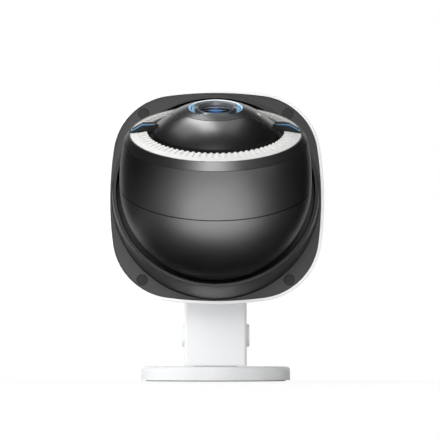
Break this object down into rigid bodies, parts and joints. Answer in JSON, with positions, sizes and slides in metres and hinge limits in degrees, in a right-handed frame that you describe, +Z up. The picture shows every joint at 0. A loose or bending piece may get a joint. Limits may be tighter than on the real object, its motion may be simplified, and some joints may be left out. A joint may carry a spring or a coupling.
{
  "type": "dome security camera",
  "caption": "Security camera with a tilting and panning ball head in a rounded square housing, on a folding round-footed desk or wall bracket.",
  "frame": {"origin": "middle of the underside of the round foot", "axes": "+Z up, the camera's face looks along -Y, +X is to the right of a viewer who faces the camera"},
  "size_m": [0.125, 0.1677, 0.1689],
  "materials": {
    "white_paint": "satin",
    "white_plastic": "satin",
    "steel": "brushed",
    "black_rubber": "matt",
    "slip_plastic": "matt",
    "fascia_plastic": "satin",
    "inner_black": "matt",
    "head_plastic": "satin",
    "island_gloss": "gloss",
    "band_plastic": "satin",
    "blue_trim": "gloss",
    "light_diffuser": "satin",
    "lens_glass": "polished",
    "circuit_board": "satin",
    "chip": "matt",
    "led_yellow": "satin",
    "cast_alloy": "cast"
  },
  "bodies": {
    "foot": {"foot_plate": "white_paint", "foot_weight": "steel", "foot_pad": "black_rubber", "hinge_washers": "slip_plastic"},
    "camera_body": {"bracket_arm": "white_paint", "arm_cover": "white_plastic", "arm_screws": "steel", "hinge_bolt": "steel", "hinge_nut": "steel", "hinge_caps": "white_plastic", "rear_shell": "white_plastic", "fascia": "fascia_plastic", "case_seal": "black_rubber", "case_screws": "steel", "screw_plugs": "fascia_plastic", "glide_ring": "slip_plastic", "main_board": "circuit_board", "board_chips": "chip", "board_sleeves": "slip_plastic", "board_screws": "steel", "motor_plate": "steel", "pan_motor": "steel", "speaker": "chip", "cable_gland": "black_rubber"},
    "pan_yoke": {"pan_ring": "fascia_plastic", "pan_cup": "inner_black", "pan_retainer": "inner_black", "pan_screws": "steel", "neck": "inner_black", "pan_shaft": "steel", "tilt_axle": "steel"},
    "head": {"head_barrel": "head_plastic", "rear_cap": "head_plastic", "seam_ring": "black_rubber", "front_bezel": "head_plastic", "light_front_half": "light_diffuser", "light_rear_half": "light_diffuser", "led_board": "circuit_board", "leds": "led_yellow", "light_carrier": "inner_black", "lower_lobe": "island_gloss", "upper_lobe": "island_gloss", "face_band": "band_plastic", "lens_surround": "blue_trim", "lens_bezel": "band_plastic", "lens_glass": "lens_glass", "lens_barrel": "inner_black", "lens_elements": "lens_glass", "sensor_board": "circuit_board", "image_sensor": "chip", "microphone": "chip", "light_sensor": "lens_glass", "wing_left": "island_gloss", "wing_right": "island_gloss", "head_chassis": "cast_alloy", "tilt_bushes": "slip_plastic", "tilt_motor": "steel", "chassis_screws": "steel"}
  },
  "joints": [
    {"name": "bracket_fold", "type": "hinge", "parent": "foot", "child": "camera_body", "pos_m": [0, 0.026, 0.028], "axis": [-1, 0, 0], "range_deg": [0, 90]},
    {"name": "head_pan", "type": "hinge", "parent": "camera_body", "child": "pan_yoke", "pos_m": [0, -0.0315, 0.1064], "axis": [0, -1, 0], "range_deg": [-170, 170]},
    {"name": "head_tilt", "type": "hinge", "parent": "pan_yoke", "child": "head", "pos_m": [0, -0.0685, 0.1064], "axis": [1, 0, 0], "range_deg": [-8, 53]}
  ]
}
